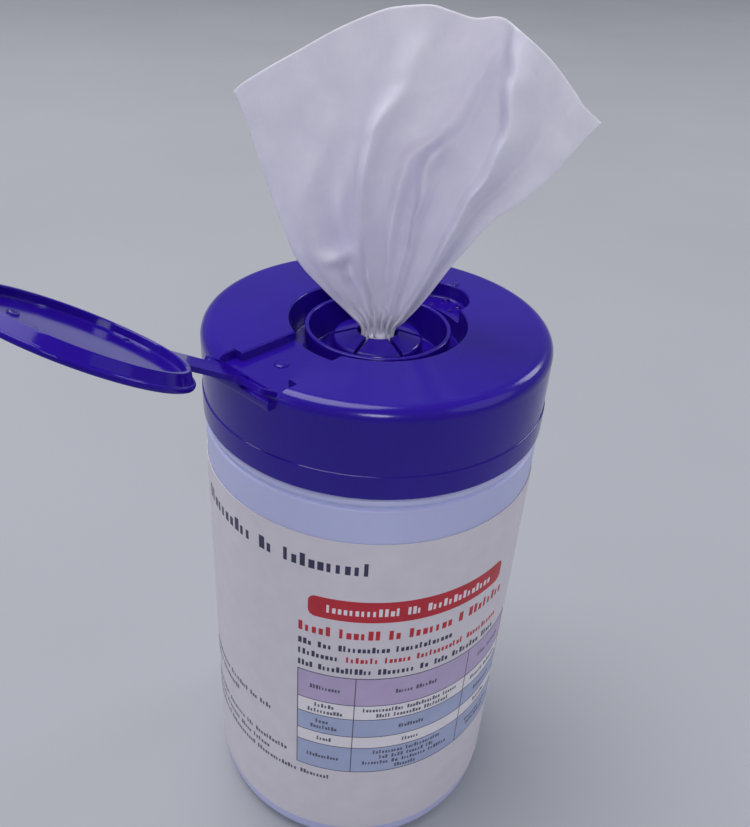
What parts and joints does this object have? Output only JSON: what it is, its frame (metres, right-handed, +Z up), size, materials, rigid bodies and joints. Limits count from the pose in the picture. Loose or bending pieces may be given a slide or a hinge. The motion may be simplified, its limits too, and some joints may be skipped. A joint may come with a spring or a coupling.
{
  "type": "canister of moist wipes with flip lid",
  "caption": "Round canister of moist disinfecting wipes with a lift-off dispensing cap, flip lid and a pulled wipe.",
  "frame": {"origin": "centre of the base's underside, where the canister stands", "axes": "+Z up the canister's axis, -Y towards the front of the label"},
  "size_m": [0.1246, 0.1315, 0.2422],
  "materials": {
    "canister_plastic": "soft gloss, blow moulded",
    "label_print": "satin printed film",
    "cap_plastic": "gloss, injection moulded",
    "lid_plastic": "gloss, injection moulded",
    "roll_cloth": "moist nonwoven",
    "wipe_cloth": "moist nonwoven, thin"
  },
  "bodies": {
    "canister_body": {"canister": "canister_plastic", "label": "label_print", "wipes_roll": "roll_cloth"},
    "cap_body": {"cap": "cap_plastic", "pulled_wipe": "wipe_cloth"},
    "lid_body": {"flip_lid": "lid_plastic"}
  },
  "joints": [
    {"name": "cap_lift", "type": "slide", "parent": "canister_body", "child": "cap_body", "axis": [0, 0, 1], "range_m": [0, 0.03]},
    {"name": "lid_hinge", "type": "hinge", "parent": "cap_body", "child": "lid_body", "pos_m": [-0.02965, -0.03411, 0.1659], "axis": [0.7547, -0.6561, 0], "range_deg": [-148.2, 31.8], "deforming": ["pulled_wipe"]}
  ]
}
